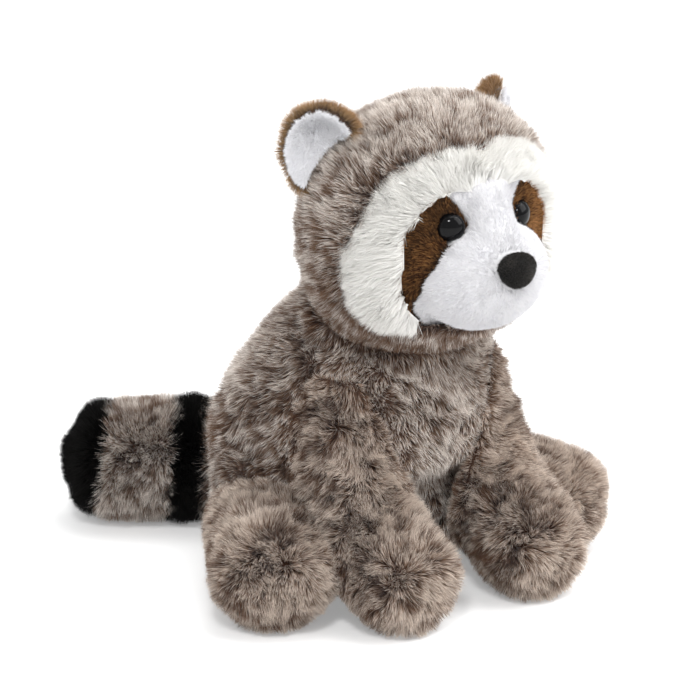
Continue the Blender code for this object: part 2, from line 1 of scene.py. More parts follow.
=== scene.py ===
"""The look of a seated plush raccoon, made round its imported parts.

The file is laid out as a Blender add-on and runs as a script. Each operator makes one group of pieces.
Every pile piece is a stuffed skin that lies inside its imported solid, with real fibres rooted in it.
"""

import itertools
import math

import bmesh
import bpy
import numpy as np
from bpy.props import FloatProperty, FloatVectorProperty, IntProperty, PointerProperty
from bpy.types import Operator, Panel, PropertyGroup
from mathutils import Matrix, Vector
from mathutils.bvhtree import BVHTree


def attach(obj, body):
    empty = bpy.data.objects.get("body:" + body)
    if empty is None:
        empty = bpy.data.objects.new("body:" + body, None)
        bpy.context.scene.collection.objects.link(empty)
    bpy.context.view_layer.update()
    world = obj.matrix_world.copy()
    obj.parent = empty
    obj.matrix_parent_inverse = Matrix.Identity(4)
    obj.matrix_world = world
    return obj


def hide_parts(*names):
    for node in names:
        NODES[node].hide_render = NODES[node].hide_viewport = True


bl_info = {
    "name": "Plush Raccoon",
    "version": (1, 0, 0),
    "blender": (4, 5, 0),
    "location": "3D View > Sidebar > Plush",
    "description": "Dresses the packed parts of a seated plush raccoon in pile, plush and glossy eyes",
    "category": "Object",
}

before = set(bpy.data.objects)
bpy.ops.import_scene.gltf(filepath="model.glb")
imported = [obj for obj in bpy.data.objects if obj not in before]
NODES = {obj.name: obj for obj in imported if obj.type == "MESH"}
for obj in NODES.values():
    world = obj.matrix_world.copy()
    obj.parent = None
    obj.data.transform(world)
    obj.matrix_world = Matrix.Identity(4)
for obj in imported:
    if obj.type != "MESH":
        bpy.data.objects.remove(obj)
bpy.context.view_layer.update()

MM = 0.001
FLOOR_CLEARANCE = 0.3 * MM

SIDES = ((1, "left"), (-1, "right"))
RUFFS = ["ruff_left", "ruff_right"]
INNER_PANELS = ["muzzle", "eye_patch_left", "eye_patch_right"]

# Middles of the head's ball, of the face and of the ruff
HEAD_CENTRE = np.array((0.0, -0.057, 0.184))
FACE_MIDDLE = HEAD_CENTRE + np.array((0.0, -0.045, -0.012))
RUFF_MIDDLE = HEAD_CENTRE + np.array((0.0, 0.0, -0.010))

# How far the crown and the belly are drawn in
CROWN_DIP = 2.5 * MM
BELLY_FOLD = 11 * MM

# Middles of the fronts of the left forepaw and hind foot, and how far the pile fans out round them
PAW_FRONT = (0.0375, -0.115, 0.026)
FOOT_FRONT = (0.101, -0.078, 0.028)
FAN_REACH = 0.030

# Where the tail's middle line starts, how it bends, and along which part the tip's end is drawn in
TAIL_ROOT = np.array((-0.0055, 0.046))
TAIL_BEND_RADIUS = 0.046
TAIL_TURN = math.radians(53)
TAIL_RADIUS = 0.032
TAIL_END = (0.098, 0.115)

# Eyes: the angle at which each looks outward, and the sizes of the dome, its flange and its shank
EYE_SPLAY = math.radians(30)
EYE_RADIUS = 0.0065
EYE_DOME = 0.0046
DOME_TOP_ANGLE = math.radians(70)
EYE_FLANGE = 0.0004
SHANK_RADIUS = 0.0016
SHANK_LENGTH = 0.0088

# Nose: how much wider and lower its skin is than its solid, and how far it is moved to the front
NOSE_SHARES = np.array((1.08, 1.0, 0.95))
NOSE_MOVE = np.array((0.0, -1.5, 0.0)) * MM

# Ears: which way they look, how far the left one is turned and lowered, and how far lower edges hang
EAR_SPLAY = math.radians(56)
EAR_TILT = math.radians(4)
FAR_EAR_TURN = math.radians(-12)
FAR_EAR_FALL = 3.2 * MM
EAR_DROP = 0.12

# Pile: how deep a root lies in its skin, and the cells over which heading, length and tone vary
ROOT_DEPTH = 0.3 * MM
SWIRL_CELL = 15 * MM
TOUSLE_CELL = 5 * MM
LENGTH_CELL = 6 * MM
PATCH_CELL = 12 * MM
TUFT_CELL = 3.4 * MM

# The map of tones: its name, and where a fibre's root, tip and edges lie on it
TONE_MAP = "OFBake"
BLADE_ROOT = 0.05
BLADE_TIP = 0.98
BLADE_EDGE = 0.012

# Ranges of that map in which one colour of a fibre goes over into the next
ROOT_TO_MIDDLE = (0.05, 0.42)
MIDDLE_TO_TIP = (0.36, 0.85)
PLAIN_TO_SHADED = (0.52, 0.04)

# Stage: the floor, and each lamp's name, place, size and share of the key light's power
FLOOR_RADIUS = 3.0
FLOOR_DROP = 0.0002
FLOOR_GLOW = 0.30
LAMPS = (
    ("key", (1.3, -1.3, 1.45), 2.0, 1.4),
    ("top", (0.45, -0.1, 2.0), 1.6, 0.8),
    ("catch", (-0.95, -1.05, 1.45), 0.32, 0.58),
)

# The photograph's view: the point looked at, where that point lands in the frame, and the distance
FRAME_PIXELS = 700
VIEW_TARGET = Vector((0.0, -0.054, 0.125))
VIEW_TARGET_PIXEL = (421.3, 333.3)
VIEW_AZIMUTH = math.radians(-37.6)
VIEW_ELEVATION = math.radians(17.1)
VIEW_DISTANCE = 1.6
VIEW_PIXELS_PER_UNIT = 3478.0
SENSOR_WIDTH = 36.0


# Values that vary over space


def lattice_noise(points, cell, seed):
    """Smooth values from -1 to 1 that change over about one cell."""
    scaled = points / cell
    base = np.floor(scaled)
    part = scaled - base
    part = part * part * (3.0 - 2.0 * part)
    base = base.astype(np.int64)
    total = np.zeros(len(points))
    for corner in itertools.product((0, 1), repeat=3):
        key = (base + np.array(corner)).astype(np.uint64)
        mixed = (key[:, 0] * np.uint64(73856093)) ^ (key[:, 1] * np.uint64(19349663))
        mixed ^= (key[:, 2] * np.uint64(83492791)) ^ np.uint64(seed * 40503 + 977)
        mixed &= np.uint64(0xFFFFFFFF)
        mixed = ((mixed ^ (mixed >> np.uint64(15))) * np.uint64(2246822519)) & np.uint64(0xFFFFFFFF)
        mixed = ((mixed ^ (mixed >> np.uint64(13))) * np.uint64(3266489917)) & np.uint64(0xFFFFFFFF)
        value = ((mixed ^ (mixed >> np.uint64(16))) & np.uint64(0xFFFF)).astype(float) / 32767.5 - 1.0
        weight = np.prod(np.where(np.array(corner), part, 1.0 - part), axis=1)
        total += weight * value
    return total


def noise_vectors(points, cell, seed):
    return np.stack([lattice_noise(points, cell, seed + k) for k in range(3)], axis=1)


def unit(vectors):
    return vectors / np.maximum(np.linalg.norm(vectors, axis=-1, keepdims=True), 1e-9)


def dots(a, b):
    return np.sum(a * b, axis=-1, keepdims=True)


def blend_step(values, low, high):
    """A smooth rise from 0 to 1 between two values."""
    share = np.clip((values - low) / (high - low), 0.0, 1.0)
    return share * share * (3.0 - 2.0 * share)


# Meshes as arrays


def read_rows(items, attribute, width, kind=float):
    values = np.empty(len(items) * width, kind)
    items.foreach_get(attribute, values)
    return values.reshape(-1, width)


def mesh_points(mesh):
    return read_rows(mesh.vertices, "co", 3)


def mesh_normals(mesh):
    return read_rows(mesh.vertex_normals, "vector", 3)


def mesh_triangles(mesh):
    mesh.calc_loop_triangles()
    return read_rows(mesh.loop_triangles, "vertices", 3, np.int32)


def mesh_edges(mesh):
    return read_rows(mesh.edges, "vertices", 2, np.int32)


def set_points(mesh, points):
    mesh.vertices.foreach_set("co", points.ravel())
    mesh.update()


def relax(mesh, rounds):
    """Even out a mesh by moving each point half way to the middle of its neighbours."""
    points = mesh_points(mesh)
    edges = mesh_edges(mesh)
    counts = np.bincount(edges.ravel(), minlength=len(points))[:, None]
    for _ in range(rounds):
        total = np.zeros_like(points)
        np.add.at(total, edges[:, 0], points[edges[:, 1]])
        np.add.at(total, edges[:, 1], points[edges[:, 0]])
        points += 0.5 * (total / np.maximum(counts, 1) - points)
    set_points(mesh, points)


def merged_node(name):
    """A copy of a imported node's mesh with its doubled points merged."""
    bm = bmesh.new()
    bm.from_mesh(NODES[name].data)
    bmesh.ops.remove_doubles(bm, verts=bm.verts, dist=1e-6)
    mesh = bpy.data.meshes.new(name + "_form")
    bm.to_mesh(mesh)
    bm.free()
    return mesh


def remeshed(name, voxel):
    """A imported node's form as even quads of about one voxel."""
    mesh = merged_node(name)
    form = bpy.data.objects.new("form", mesh)
    bpy.context.scene.collection.objects.link(form)
    remesh = form.modifiers.new("remesh", 'REMESH')
    remesh.mode = 'VOXEL'
    remesh.voxel_size = voxel
    even = bpy.data.meshes.new_from_object(form.evaluated_get(bpy.context.evaluated_depsgraph_get()))
    bpy.data.objects.remove(form)
    bpy.data.meshes.remove(mesh)
    return even


def node_tree(names):
    """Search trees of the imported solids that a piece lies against."""
    return [BVHTree.FromPolygons(*node_polygons(name)) for name in names]


def node_polygons(name):
    mesh = merged_node(name)
    polygons = [list(p.vertices) for p in mesh.polygons]
    points = [v.co.copy() for v in mesh.vertices]
    bpy.data.meshes.remove(mesh)
    return points, polygons


def encloses(tree, point):
    """Whether a closed solid holds a point, by how many of its faces a ray from the point meets."""
    ray = Vector((0.31, 0.22, 0.92)).normalized()
    start = point
    hits = 0
    while True:
        place = tree.ray_cast(start, ray)[0]
        if place is None:
            return hits % 2 == 1
        hits += 1
        start = place + ray * 1e-6


def nearest_distance(trees, points):
    """How far each point is from the nearest of some solids' surfaces."""
    return np.array([min(tree.find_nearest(Vector(point))[3] for tree in trees) for point in points])


def depth_inside(trees, points):
    """How deep each point lies inside any of some solids, or 0 outside them all."""
    deepest = np.zeros(len(points))
    for tree in trees:
        for i, point in enumerate(points):
            spot = Vector(point)
            near, normal, _, distance = tree.find_nearest(spot)
            if (near - spot).dot(normal) > 0 and distance > deepest[i] and encloses(tree, spot):
                deepest[i] = distance
    return deepest


# Fibres


class Fibres:
    """Roots on a skin, and how the fibres that grow from them lie."""

    def __init__(self, skin, count, seed, weight, seams=None):
        points = mesh_points(skin)
        normals = mesh_normals(skin)
        triangles = mesh_triangles(skin)
        corners = points[triangles]
        cross = np.cross(corners[:, 1] - corners[:, 0], corners[:, 2] - corners[:, 0])
        share = np.linalg.norm(cross, axis=1)
        share = share * weight(corners.mean(axis=1), unit(normals[triangles].mean(axis=1)))
        self.rng = np.random.default_rng(seed)
        picked = self.rng.choice(len(triangles), size=count, p=share / share.sum())
        a = self.rng.random((count, 1))
        b = self.rng.random((count, 1))
        over = a + b > 1.0
        a = np.where(over, 1.0 - a, a)
        b = np.where(over, 1.0 - b, b)
        mix = np.concatenate([1.0 - a - b, a, b], axis=1)[:, :, None]
        self.seed = seed
        self.roots = (points[triangles[picked]] * mix).sum(axis=1)
        self.normals = unit((normals[triangles[picked]] * mix).sum(axis=1))
        self.from_seam = np.ones(count)
        if seams is not None:
            self.from_seam = (seams[triangles[picked]] * mix[:, :, 0]).sum(axis=1)

    def along_skin(self, vectors):
        return vectors - self.normals * dots(vectors, self.normals)

    def comb(self, flow, lean, swirl, tousle, stray=0.2):
        """Tilt the fibres along a flow, turned by wide swirls and small tufts."""
        self.aim = flow
        toward = self.along_skin(flow) + swirl * noise_vectors(self.roots, SWIRL_CELL, self.seed + 11)
        toward = toward + tousle * noise_vectors(self.roots, TOUSLE_CELL, self.seed + 23)
        toward = self.along_skin(toward)
        self.heading = unit(self.normals + toward * lean + self.rng.normal(0.0, stray, self.roots.shape))

    def flatten(self, share):
        """Lay the fibres down along the flow, as a seam holds them, by a share from 0 to 1."""
        share = share[:, None]
        self.heading = unit(self.heading * (1.0 - share) + (unit(self.aim) + 0.3 * self.normals) * share)

    def grow(self, length, variation=0.2):
        """Set each fibre's length and find its tip."""
        share = 1.0 + variation * lattice_noise(self.roots, LENGTH_CELL, self.seed + 31)
        share += self.rng.normal(0.0, 0.14, len(self.roots))
        reach = (length * np.clip(share, 0.45, 1.45))[:, None]
        self.roots = self.roots - self.normals * ROOT_DEPTH
        self.tips = self.roots + self.heading * reach

    def gather(self, cell, pull):
        """Draw the tips of neighbouring fibres together into tufts."""
        warped = self.roots + noise_vectors(self.roots, 3 * cell, self.seed + 41) * cell * 0.8
        cells = np.floor(warped / cell + 0.37 * self.seed).astype(np.int64)
        _, group = np.unique(cells, axis=0, return_inverse=True)
        group = group.ravel()
        size = np.bincount(group)
        mean = np.stack([np.bincount(group, self.tips[:, k]) / size for k in range(3)], axis=1)
        self.tips += (mean[group] - self.tips) * pull

    def tones(self, wide, narrow, spread, middle=0.5):
        """A value from 0 to 1 for each fibre, in wide patches and narrow tufts."""
        value = middle + wide * lattice_noise(self.roots, PATCH_CELL, self.seed + 53)
        part_way = self.roots + 0.4 * (self.tips - self.roots)
        value += narrow * lattice_noise(part_way, TUFT_CELL, self.seed + 59)
        value += self.rng.normal(0.0, spread, len(self.roots))
        self.tone = np.clip(value, 0.03, 0.97)

    def blades(self, width, twist=0.7):
        """Points, triangles and map of the fibres, each a flat blade that narrows to its tip."""
        facing = self.normals + self.rng.normal(0.0, twist, self.roots.shape)
        aside = unit(np.cross(self.heading, facing))
        half = 0.5 * width * self.rng.uniform(0.7, 1.3, (len(self.roots), 1))
        points = np.stack((self.roots - aside * half, self.roots + aside * half, self.tips), axis=1)
        points = points.reshape(-1, 3)
        points[:, 2] = np.maximum(points[:, 2], FLOOR_CLEARANCE)
        triangles = np.arange(len(points)).reshape(-1, 3)
        across = self.tone[:, None] + np.array((-BLADE_EDGE, BLADE_EDGE, 0.0))
        along = np.broadcast_to(np.array((BLADE_ROOT, BLADE_ROOT, BLADE_TIP)), across.shape)
        return points, triangles, np.stack([across, along], axis=2).reshape(-1, 2)


def skin_arrays(skin, seed):
    """A skin's points and triangles, mapped to the root end of the tones."""
    points = mesh_points(skin)
    triangles = mesh_triangles(skin)
    tone = np.clip(0.5 + 0.4 * lattice_noise(points, PATCH_CELL, seed + 53), 0.03, 0.97)
    depth = 0.03 + 0.02 * lattice_noise(points, 2 * MM, seed + 61)
    return points, triangles, np.stack([tone, depth], axis=1)


def joined_piece(name, skin, blades, material, node, slot):
    """One object from the arrays of a skin and its blades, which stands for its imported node."""
    points = np.concatenate([skin[0], blades[0]])
    triangles = np.concatenate([skin[1], blades[1] + len(skin[0])]).astype(np.int32)
    places = np.concatenate([skin[2], blades[2]])
    mesh = bpy.data.meshes.new(name)
    mesh.vertices.add(len(points))
    mesh.vertices.foreach_set("co", points.ravel().astype(np.float32))
    mesh.loops.add(triangles.size)
    mesh.loops.foreach_set("vertex_index", triangles.ravel())
    mesh.polygons.add(len(triangles))
    mesh.polygons.foreach_set("loop_start", np.arange(0, triangles.size, 3, dtype=np.int32))
    mesh.update(calc_edges=True)
    layer = mesh.uv_layers.new(name=TONE_MAP)
    layer.data.foreach_set("uv", places[triangles.ravel()].ravel().astype(np.float32))
    mesh.shade_smooth()
    mesh.materials.append(material)
    piece = bpy.data.objects.new(name, mesh)
    bpy.context.scene.collection.objects.link(piece)
    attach(piece, "root")
    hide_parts(node)
    return piece


# Materials


def set_inputs(node, values):
    """Give the inputs of a shader node their fixed values."""
    for name, value in values.items():
        node.inputs[name].default_value = value


def new_material(name):
    """A new finish, with its nodes and its shader."""
    material = bpy.data.materials.new(name)
    material.use_nodes = True
    tree = material.node_tree
    return material, tree, tree.nodes["Principled BSDF"]


def surface_noise(tree, scale):
    """Fine noise that keeps its place on a piece."""
    coordinates = tree.nodes.new('ShaderNodeTexCoord')
    noise = tree.nodes.new('ShaderNodeTexNoise')
    set_inputs(noise, {"Scale": scale})
    tree.links.new(coordinates.outputs["Object"], noise.inputs["Vector"])
    return noise.outputs["Fac"]


def smooth_range(group, value, low, high):
    node = group.nodes.new('ShaderNodeMapRange')
    node.interpolation_type = 'SMOOTHSTEP'
    set_inputs(node, {"From Min": low, "From Max": high})
    group.links.new(value, node.inputs["Value"])
    return node.outputs["Result"]


def mixed(group, factor, first, second, blend='MIX'):
    node = group.nodes.new('ShaderNodeMix')
    node.data_type = 'RGBA'
    node.blend_type = blend
    for socket, source in ((node.inputs[0], factor), (node.inputs[6], first), (node.inputs[7], second)):
        if isinstance(source, bpy.types.NodeSocket):
            group.links.new(source, socket)
        else:
            socket.default_value = source
    return node.outputs[2]


def pile_tones():
    """The group that colours a fibre from its root to its tip."""
    found = bpy.data.node_groups.get("Pile Tones")
    if found:
        return found
    group = bpy.data.node_groups.new("Pile Tones", 'ShaderNodeTree')
    group.interface.new_socket(name="Place", in_out='INPUT', socket_type='NodeSocketVector')
    for socket in ("Root", "Middle", "Tip", "Shade"):
        group.interface.new_socket(name=socket, in_out='INPUT', socket_type='NodeSocketColor')
    group.interface.new_socket(name="Color", in_out='OUTPUT', socket_type='NodeSocketColor')
    given = group.nodes.new('NodeGroupInput')
    result = group.nodes.new('NodeGroupOutput')
    split = group.nodes.new('ShaderNodeSeparateXYZ')
    group.links.new(given.outputs["Place"], split.inputs[0])
    tone, along = split.outputs[0], split.outputs[1]
    lower = mixed(group, smooth_range(group, along, *ROOT_TO_MIDDLE), given.outputs["Root"],
                  given.outputs["Middle"])
    whole = mixed(group, smooth_range(group, along, *MIDDLE_TO_TIP), lower, given.outputs["Tip"])
    dark = mixed(group, smooth_range(group, tone, *PLAIN_TO_SHADED), whole, given.outputs["Shade"],
                 'MULTIPLY')
    group.links.new(dark, result.inputs["Color"])
    return group


def pile_material(name, root, middle, tip, shade, sheen=0.25, tint=(1.0, 1.0, 1.0)):
    """A fibre finish that reads the piece's own map: tone across, root to tip upward."""
    material, tree, shader = new_material(name)
    tones = tree.nodes.new('ShaderNodeGroup')
    tones.node_tree = pile_tones()
    place = tree.nodes.new('ShaderNodeUVMap')
    place.uv_map = TONE_MAP
    tree.links.new(place.outputs["UV"], tones.inputs["Place"])
    for socket, colour in (("Root", root), ("Middle", middle), ("Tip", tip), ("Shade", shade)):
        tones.inputs[socket].default_value = (*colour, 1.0)
    tree.links.new(tones.outputs["Color"], shader.inputs["Base Color"])
    set_inputs(shader, {
        "Roughness": 0.8,
        "Specular IOR Level": 0.25,
        "Sheen Weight": sheen,
        "Sheen Roughness": 0.5,
        "Sheen Tint": (*tint, 1.0),
    })
    return material


# Sizes and colours that a user would change


def colour_property(name, description, default):
    return FloatVectorProperty(name=name, description=description, subtype='COLOR', min=0.0, max=1.0,
                               default=default)


def length_property(name, description, default):
    return FloatProperty(name=name, description=description, unit='LENGTH', min=0.0, default=default)


class RaccoonCoatSettings(PropertyGroup):
    """The long grey pile of the body and the hood."""

    length: length_property("Pile length", "Length of the body's fibres", 0.0082)
    inset: length_property("Skin depth", "How far the skin lies inside the packed solid", 0.0058)
    width: length_property("Fibre width", "Width of one fibre at its root", 0.00046)
    torso: IntProperty(name="Torso fibres", description="Fibres on the torso", default=150000)
    limb: IntProperty(name="Limb fibres", description="Fibres on each limb", default=74000)
    hood: IntProperty(name="Hood fibres", description="Fibres on the hood of the head", default=150000)
    root: colour_property("Root", "Colour of the pile at its roots", (0.090, 0.047, 0.030))
    middle: colour_property("Middle", "Colour of the pile half way up", (0.35, 0.235, 0.165))
    tip: colour_property("Tip", "Colour of the pile's frosted tips", (0.93, 0.87, 0.81))
    # This tint darkens the random darker patches, and also the painted shade on the sides, back and
    # underside of the body and hood, where their tones are set low
    shade: colour_property("Patches", "Tint of the darker patches", (0.23, 0.145, 0.098))


class RaccoonFaceSettings(PropertyGroup):
    """The ruff, muzzle, eye patches and ears."""

    ruff_length: length_property("Ruff length", "Length of the ruff's fibres", 0.0100)
    opening: length_property("Ruff opening", "How far the ruff is drawn back from the face", 0.0034)
    ruff: IntProperty(name="Ruff fibres", description="Fibres on each side of the ruff", default=30000)
    plush: IntProperty(name="Muzzle fibres", description="Fibres on the muzzle", default=36000)
    patch: IntProperty(name="Patch fibres", description="Fibres on each eye patch", default=14000)
    ruff_root: colour_property("Ruff root", "Colour of the ruff at its roots", (0.95, 0.94, 0.91))
    ruff_tip: colour_property("Ruff tip", "Colour of the ruff's tips", (0.96, 0.95, 0.92))
    plush_colour: colour_property("Muzzle", "Colour of the short white plush", (0.79, 0.785, 0.80))
    patch_root: colour_property("Patch root", "Colour of the eye patches between fibres",
                                (0.018, 0.007, 0.003))
    patch_tip: colour_property("Patch tip", "Colour of the eye patches' fibre tips", (0.46, 0.215, 0.075))
    patch_glint: colour_property("Patch glint", "Tint of the patches' sheen", (0.75, 0.42, 0.18))
    ear_tip: colour_property("Ear tip", "Colour of the ears' golden tips", (0.50, 0.31, 0.15))


class RaccoonTailSettings(PropertyGroup):
    """The banded tail."""

    length: length_property("Tail pile length", "Length of the tail's fibres", 0.0088)
    black_root: colour_property("Black root", "Colour of the black bands at their roots",
                                (0.0012, 0.0011, 0.0010))
    black_tip: colour_property("Black tip", "Colour of the black bands' tips", (0.0055, 0.0049, 0.0044))


class RaccoonStageSettings(PropertyGroup):
    """The light and the floor."""

    key: FloatProperty(name="Key light", description="Power of the large lamp at the front", default=26.0)
    fill: FloatProperty(name="Surrounding light", description="Strength of the pale surroundings",
                        default=0.56)


# Pieces


def grey_material():
    coat = bpy.context.scene.raccoon_coat
    return bpy.data.materials.get("Grey pile") or pile_material(
        "Grey pile", coat.root, coat.middle, coat.tip, coat.shade)


def warmed(colour):
    """A colour of the coat as the limbs wear it, a little browner."""
    return [value * share for value, share in zip(colour, (0.86, 0.80, 0.75))]


def stuffed_skin(node, voxel, inset, trees):
    """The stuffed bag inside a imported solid, as far under its surface as the pile is high.

    The bag keeps to the surface where another piece is sewn to it. The second result is 0 there and 1
    away from it.
    """
    skin = remeshed(node, voxel)
    relax(skin, 6)
    points = mesh_points(skin)
    normals = mesh_normals(skin)
    seams = blend_step(nearest_distance(trees, points), 1 * MM, 11 * MM)
    resting = blend_step(-normals[:, 2], 0.55, 0.95) * blend_step(-points[:, 2], -6 * MM, -1 * MM)
    points -= normals * (inset * (1.0 - 0.8 * resting) * (0.1 + 0.9 * seams))[:, None]
    set_points(skin, points)
    relax(skin, 3)
    points = mesh_points(skin)
    points[:, 2] = np.maximum(points[:, 2], FLOOR_CLEARANCE)
    set_points(skin, points)
    return skin, seams


def covered_by(trees, points, normals, reach, depth):
    """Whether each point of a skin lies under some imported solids, or faces one closely."""
    covered = depth_inside(trees, points + normals * (1 * MM)) > depth
    for i in np.nonzero(~covered)[0]:
        spot, ray = Vector(points[i]), Vector(normals[i])
        covered[i] = any(tree.ray_cast(spot, ray, reach)[0] is not None for tree in trees)
    return covered


def open_to_air(trees, reach):
    """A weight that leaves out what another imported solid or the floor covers."""

    def weight(centres, normals):
        resting = (normals[:, 2] < -0.75) & (centres[:, 2] < 4 * MM)
        return np.where(covered_by(trees, centres, normals, reach, depth=3 * MM) | resting, 0.0, 1.0)

    return weight


def draw_in_belly(skin):
    """Draw the torso in between the forelegs, below the fold of the chest."""
    points = mesh_points(skin)
    low = blend_step(-points[:, 2], -68 * MM, -54 * MM)
    between = blend_step(-np.abs(points[:, 0]), -34 * MM, -20 * MM)
    between = between * blend_step(-points[:, 1], 20 * MM, 45 * MM)
    points[:, 1] += BELLY_FOLD * low * between
    set_points(skin, points)
    relax(skin, 2)


def grow_body_piece(node, neighbours, count, flow, material, seed):
    """Make the torso or a limb: its skin and the grey pile on it."""
    coat = bpy.context.scene.raccoon_coat
    trees = node_tree(neighbours)
    skin, seams = stuffed_skin(node, voxel=3.4 * MM, inset=coat.inset, trees=trees)
    if node == "torso":
        draw_in_belly(skin)
    fibres = Fibres(skin, count, seed, open_to_air(trees, reach=0.5 * MM), seams)
    fibres.comb(flow(fibres.roots), lean=0.42, swirl=1.3, tousle=1.5)
    fibres.grow(coat.length * (0.6 + 0.4 * fibres.from_seam))
    fibres.gather(cell=2.6 * MM, pull=0.36)
    # Painted light and shade: the pile's tones are set lighter where it faces the front and where it faces
    # up, so the chest and the tops read lit and the sides, back and underside read shaded
    front = blend_step(-fibres.normals[:, 1], 0.3, 0.95)
    painted_top_light = blend_step(fibres.normals[:, 2], 0.1, 0.8)
    fibres.tones(wide=0.28, narrow=0.55, spread=0.24, middle=0.30 + 0.30 * front + 0.16 * painted_top_light)
    blades = fibres.blades(coat.width)
    piece = joined_piece(node + "_pile", skin_arrays(skin, seed), blades, material, node, "grey_pile")


def downward(points):
    return np.broadcast_to(np.array((0.0, -0.1, -1.0)), points.shape)


def limb_flow(side, front):
    """Down the limb, and outward from the middle of its foot's front."""
    centre = np.array((side * front[0], front[1], front[2]))

    def flow(points):
        away = points - centre
        near = np.exp(-(np.linalg.norm(away, axis=1) / FAN_REACH) ** 2)[:, None]
        return away / FAN_REACH * 0.6 * near + np.array((0.0, -0.2, -0.8)) * (1.0 - 0.5 * near)

    return flow


class RaccoonBody(Operator):
    """Make the torso, the forelegs and the hind legs"""

    bl_idname = "raccoon.body"
    bl_label = "Body and limbs"

    def execute(self, context):
        coat = context.scene.raccoon_coat
        limbs = ["arm_left", "arm_right", "leg_left", "leg_right"]
        grey = grey_material()
        colours = (coat.root, coat.middle, coat.tip, coat.shade)
        brown = pile_material("Brown-grey pile", *map(warmed, colours))
        grow_body_piece("torso", limbs + ["head", "tail_base"], coat.torso, downward, grey, 101)
        for side, name in SIDES:
            arm = "arm_" + name
            leg = "leg_" + name
            for node, other, front, seed in ((arm, leg, PAW_FRONT, 110), (leg, arm, FOOT_FRONT, 120)):
                flow = limb_flow(side, front)
                grow_body_piece(node, ["torso", other], coat.limb, flow, brown, seed + side)
        return {'FINISHED'}


def toward_head_centre(points, distance):
    """Points moved toward the middle of the head."""
    arm = points - HEAD_CENTRE
    return HEAD_CENTRE + arm * (1.0 - distance / np.linalg.norm(arm, axis=1, keepdims=True))


def across_face(vectors):
    """The directions of some vectors as they are seen from the front."""
    return unit(vectors * np.array((1.0, 0.0, 1.0)))


def head_skin(node, voxel, depth, trees):
    """A skin moved toward the head's middle, and 0 where it meets some solids to 1 away from them."""
    skin = remeshed(node, voxel)
    relax(skin, 3)
    points = mesh_points(skin)
    seams = blend_step(nearest_distance(trees, points), 1 * MM, 10 * MM)
    set_points(skin, toward_head_centre(points, depth))
    return skin, seams


def faces_out(trees, reach, least):
    """A weight for the outward side of the head's pieces, clear of other solids."""

    def weight(centres, normals):
        outward = dots(unit(centres - HEAD_CENTRE), normals)[:, 0]
        return np.where((outward < least) | covered_by(trees, centres, normals, reach, 1 * MM), 0.0, 1.0)

    return weight


def face_flow(points):
    """Away from the middle of the face, and toward the back."""
    away = (points - FACE_MIDDLE) * np.array((1.0, 0.4, 1.0))
    return unit(away) + np.array((0.0, 0.7, 0.15))


class RaccoonHood(Operator):
    """Make the grey hood of the head"""

    bl_idname = "raccoon.hood"
    bl_label = "Hood"

    def execute(self, context):
        coat = context.scene.raccoon_coat
        skin, seams = head_skin("head", 3.0 * MM, coat.inset, node_tree(["torso", "muzzle"]))
        points = mesh_points(skin)
        dip = CROWN_DIP * blend_step(unit(points - HEAD_CENTRE)[:, 2], 0.45, 0.80)
        set_points(skin, toward_head_centre(points, (dip - 0.9 * coat.inset * (1.0 - seams))[:, None]))
        fibres = Fibres(skin, coat.hood, 201, self.in_sight(coat.inset), seams)
        fibres.comb(face_flow(fibres.roots), lean=0.36, swirl=1.3, tousle=1.5)
        fibres.grow(coat.length * (0.6 + 0.4 * fibres.from_seam))
        fibres.gather(cell=2.6 * MM, pull=0.36)
        # Painted light and shade: the hood's tones are set lighter toward the top of the crown and darker
        # under the chin
        crown = blend_step(fibres.normals[:, 2], -0.1, 0.8)
        painted_chin_shade = blend_step(-fibres.normals[:, 2], 0.2, 0.8)
        fibres.tones(wide=0.25, narrow=0.50, spread=0.24, middle=0.19 + 0.27 * crown - 0.14 * painted_chin_shade)
        piece = joined_piece("hood_pile", skin_arrays(skin, 201), fibres.blades(coat.width),
                             grey_material(), "head", "grey_pile")
        return {'FINISHED'}

    def in_sight(self, inset):
        """A weight for the skin that neither the neck nor the face's panels hide."""
        outward = faces_out(node_tree(["torso"]), reach=0.5 * MM, least=0.0)
        panels = node_tree(RUFFS + INNER_PANELS)

        def weight(centres, normals):
            under = depth_inside(panels, toward_head_centre(centres, -(inset + 1.5 * MM))) > 1.5 * MM
            return np.where(under, 0.0, outward(centres, normals))

        return weight


class RaccoonRuff(Operator):
    """Make the long white ruff, one piece for each side"""

    bl_idname = "raccoon.ruff"
    bl_label = "Ruff"

    def execute(self, context):
        face = context.scene.raccoon_face
        coat = context.scene.raccoon_coat
        white = pile_material("White pile", face.ruff_root, face.ruff_tip, face.ruff_tip,
                              (0.93, 0.92, 0.90), sheen=0.35)
        inner = node_tree(INNER_PANELS)
        hood = node_tree(["head"])
        for seed, name in zip((301, 303), RUFFS):
            skin, seams = head_skin(name, 2.0 * MM, coat.inset, inner)
            points = mesh_points(skin)
            outward = across_face(points - HEAD_CENTRE)
            points = toward_head_centre(points, (-0.25 * coat.inset * (1.0 - seams))[:, None])
            set_points(skin, points + outward * (face.opening * (1.0 - seams))[:, None])
            fibres = Fibres(skin, face.ruff, seed, faces_out([], reach=0.0, least=0.42), seams)
            from_hood = blend_step(nearest_distance(hood, fibres.roots), 2 * MM, 9 * MM)
            flow = across_face(fibres.roots - RUFF_MIDDLE) + np.array((0.0, 0.0, -0.15))
            fibres.comb(flow, lean=1.0, swirl=0.40, tousle=0.50, stray=0.14)
            fibres.flatten(1.0 - fibres.from_seam)
            length = face.ruff_length * (0.6 + 0.4 * fibres.from_seam) * (0.60 + 0.40 * from_hood)
            fibres.grow(length, variation=0.18)
            fibres.gather(cell=4.0 * MM, pull=0.14)
            fibres.tones(wide=0.08, narrow=0.10, spread=0.08, middle=0.6)
            blades = fibres.blades(width=0.42 * MM, twist=0.3)
            piece = joined_piece(name + "_pile", skin_arrays(skin, seed), blades, white, name, "white_pile")
        return {'FINISHED'}


